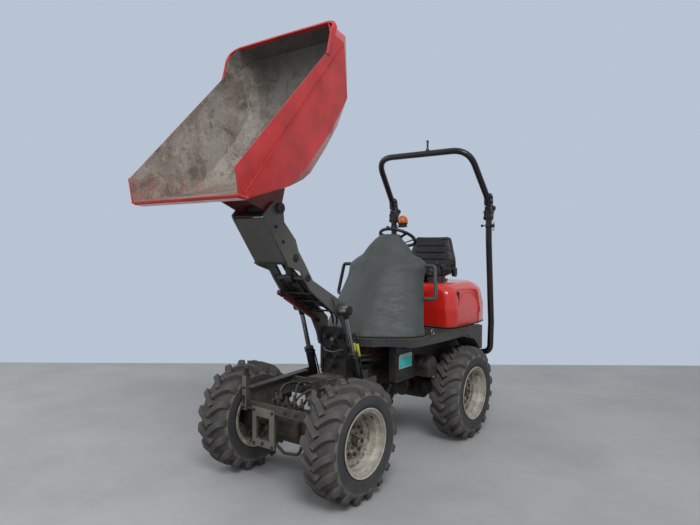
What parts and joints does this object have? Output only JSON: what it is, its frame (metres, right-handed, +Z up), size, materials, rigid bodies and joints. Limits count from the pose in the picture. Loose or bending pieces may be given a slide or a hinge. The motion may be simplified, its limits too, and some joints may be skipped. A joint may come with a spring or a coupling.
{
  "type": "articulated site dumper with high-tip skip",
  "caption": "Small articulated four-wheel site dumper with a red front-tip skip on a raised lift arm, rear seat over the engine hood and a folding roll-over bar.",
  "frame": {"origin": "middle of the overall footprint, on the ground", "axes": "+X to the driver's left, the skip end faces -Y, +Z up"},
  "size_m": [1.182, 3.1642, 2.9208],
  "materials": {
    "red_paint": "glossy red, scuffed",
    "arm_paint": "dark olive grey, dusty",
    "frame_paint": "black to brown, dirty",
    "black_paint": "satin black",
    "grey_paint": "mid grey, worn",
    "cowl_plastic": "moulded dark grey, grained",
    "rim_paint": "cream, dusty",
    "tyre": "dusty",
    "rubber": "matt",
    "seat_vinyl": "black vinyl",
    "cast_iron": "rough, dirty",
    "chrome": "polished rod",
    "amber": "translucent amber"
  },
  "bodies": {
    "rear_body": {"rear_chassis": "black_paint", "rear_axle": "cast_iron", "deck": "grey_paint", "cowl": "cowl_plastic", "handrail_left": "grey_paint", "handrail_right": "black_paint", "steering_column": "black_paint", "engine_block": "cast_iron", "battery_box": "black_paint", "hydraulic_tank": "grey_paint", "filter_canister": "black_paint", "rops_post_left": "black_paint", "rops_post_right": "black_paint", "beacon": "amber"},
    "steering_wheel": {"steering_wheel": "rubber"},
    "hood": {"engine_hood": "red_paint", "seat_base": "black_paint", "seat_cushion": "seat_vinyl", "seat_backrest": "seat_vinyl"},
    "rops_hoop": {"rops_hoop": "black_paint"},
    "steering_barrel": {"steering_barrel": "black_paint"},
    "steering_rod": {"steering_rod": "chrome"},
    "wheel_rear_left": {"tyre_rear_left": "tyre", "rim_rear_left": "rim_paint"},
    "wheel_rear_right": {"tyre_rear_right": "tyre", "rim_rear_right": "rim_paint"},
    "front_body": {"front_chassis": "frame_paint", "front_axle": "cast_iron", "tower": "black_paint", "buffer_left": "rubber", "buffer_right": "rubber"},
    "wheel_front_left": {"tyre_front_left": "tyre", "rim_front_left": "rim_paint"},
    "wheel_front_right": {"tyre_front_right": "tyre", "rim_front_right": "rim_paint"},
    "lift_arm": {"lift_arm": "arm_paint", "safety_prop": "red_paint"},
    "lift_barrels": {"lift_barrel_left": "black_paint", "lift_barrel_right": "black_paint"},
    "lift_rods": {"lift_rod_left": "chrome", "lift_rod_right": "chrome"},
    "tip_barrel": {"tip_barrel": "black_paint"},
    "tip_rod": {"tip_rod": "chrome"},
    "skip": {"skip": "red_paint", "skip_brackets": "red_paint"}
  },
  "joints": [
    {"name": "articulation", "type": "hinge", "parent": "rear_body", "child": "front_body", "pos_m": [0, 0.1651, 0.565], "axis": [0, 0, 1], "range_deg": [-33, 33]},
    {"name": "spin_front_left", "type": "hinge", "parent": "front_body", "child": "wheel_front_left", "pos_m": [0.46556, -0.6485, 0.37598], "axis": [1, 0, 0], "continuous": true},
    {"name": "spin_front_right", "type": "hinge", "parent": "front_body", "child": "wheel_front_right", "pos_m": [-0.46556, -0.6485, 0.37598], "axis": [1, 0, 0], "continuous": true},
    {"name": "spin_rear_left", "type": "hinge", "parent": "rear_body", "child": "wheel_rear_left", "pos_m": [0.46556, 0.8883, 0.37598], "axis": [1, 0, 0], "continuous": true},
    {"name": "spin_rear_right", "type": "hinge", "parent": "rear_body", "child": "wheel_rear_right", "pos_m": [-0.46556, 0.8883, 0.37598], "axis": [1, 0, 0], "continuous": true},
    {"name": "lift", "type": "hinge", "parent": "front_body", "child": "lift_arm", "pos_m": [0, -0.20441, 0.904], "axis": [1, 0, 0], "range_deg": [0, 60]},
    {"name": "tip", "type": "hinge", "parent": "lift_arm", "child": "skip", "pos_m": [0, -0.95925, 1.808], "axis": [-1, 0, 0], "range_deg": [0, 49.4]},
    {"name": "lift_barrel_swing", "type": "hinge", "parent": "front_body", "child": "lift_barrels", "pos_m": [0, -0.1739, 0.452], "axis": [1, 0, 0], "range_deg": [0, 21.65]},
    {"name": "lift_rod_slide", "type": "slide", "parent": "lift_barrels", "child": "lift_rods", "axis": [0, -0.283, 0.9591], "range_m": [-0.1753, 0]},
    {"name": "tip_barrel_swing", "type": "hinge", "parent": "lift_arm", "child": "tip_barrel", "pos_m": [0, -0.6937, 1.37295], "axis": [-1, 0, 0], "range_deg": [0, 5.51]},
    {"name": "tip_rod_slide", "type": "slide", "parent": "tip_barrel", "child": "tip_rod", "axis": [0, -0.3254, 0.9456], "range_m": [-0.113, 0]},
    {"name": "steering_barrel_swing", "type": "hinge", "parent": "rear_body", "child": "steering_barrel", "pos_m": [-0.1695, 0.64535, 0.5311], "axis": [0, 0, 1], "range_deg": [-2.32, 2.32]},
    {"name": "steering_rod_slide", "type": "slide", "parent": "steering_barrel", "child": "steering_rod", "axis": [0, 1, 0], "range_m": [-0.0945, 0.0945]},
    {"name": "rops_fold", "type": "hinge", "parent": "rear_body", "child": "rops_hoop", "pos_m": [0, 1.36855, 1.921], "axis": [1, 0, 0], "range_deg": [-165, 0]},
    {"name": "hood_open", "type": "hinge", "parent": "rear_body", "child": "hood", "pos_m": [0, 1.57986, 0.8927], "axis": [-1, 0, 0], "range_deg": [0, 45]},
    {"name": "steering_wheel_turn", "type": "hinge", "parent": "rear_body", "child": "steering_wheel", "pos_m": [0, 0.6058, 1.65206], "axis": [0, 0.454, 0.891], "continuous": true}
  ],
  "couplings": [
    {"joint": "lift_barrel_swing", "follows": "lift", "ratio": 0.3608},
    {"joint": "lift_rod_slide", "follows": "lift", "m_per_rad": -0.16735},
    {"joint": "tip_barrel_swing", "follows": "tip", "ratio": 0.1115},
    {"joint": "tip_rod_slide", "follows": "tip", "m_per_rad": -0.131},
    {"joint": "steering_barrel_swing", "follows": "articulation", "ratio": 0.07},
    {"joint": "steering_rod_slide", "follows": "articulation", "m_per_rad": -0.16385}
  ]
}
